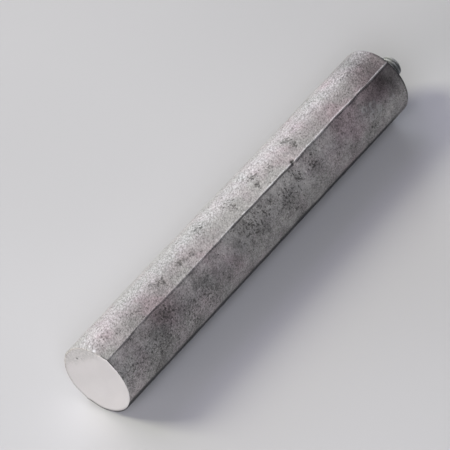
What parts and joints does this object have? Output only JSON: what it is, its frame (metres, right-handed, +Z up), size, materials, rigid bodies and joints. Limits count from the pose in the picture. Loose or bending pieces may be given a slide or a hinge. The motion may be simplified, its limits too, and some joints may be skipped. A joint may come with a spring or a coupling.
{
  "type": "magnesium anode rod",
  "caption": "Cast magnesium sacrificial anode bar with mould parting corners, a sawn blank end and a threaded steel stud, which protects a water heater tank from corrosion.",
  "frame": {"origin": "bottom centre of the whole rod, on the surface that it lies on", "axes": "+Y along the bar from the sawn end to the stud, +Z up, +X across the bar"},
  "size_m": [0.026, 0.167, 0.026],
  "materials": {
    "cast_magnesium": "as-cast fine-grained grey skin with small dark pits and soft pinkish oxide patches; bright sawn end",
    "zinc_plated_steel": "rolled thread, zinc plated, slightly greenish grey"
  },
  "bodies": {
    "root": {"anode_casting": "cast_magnesium", "core_stud": "zinc_plated_steel"}
  },
  "joints": []
}
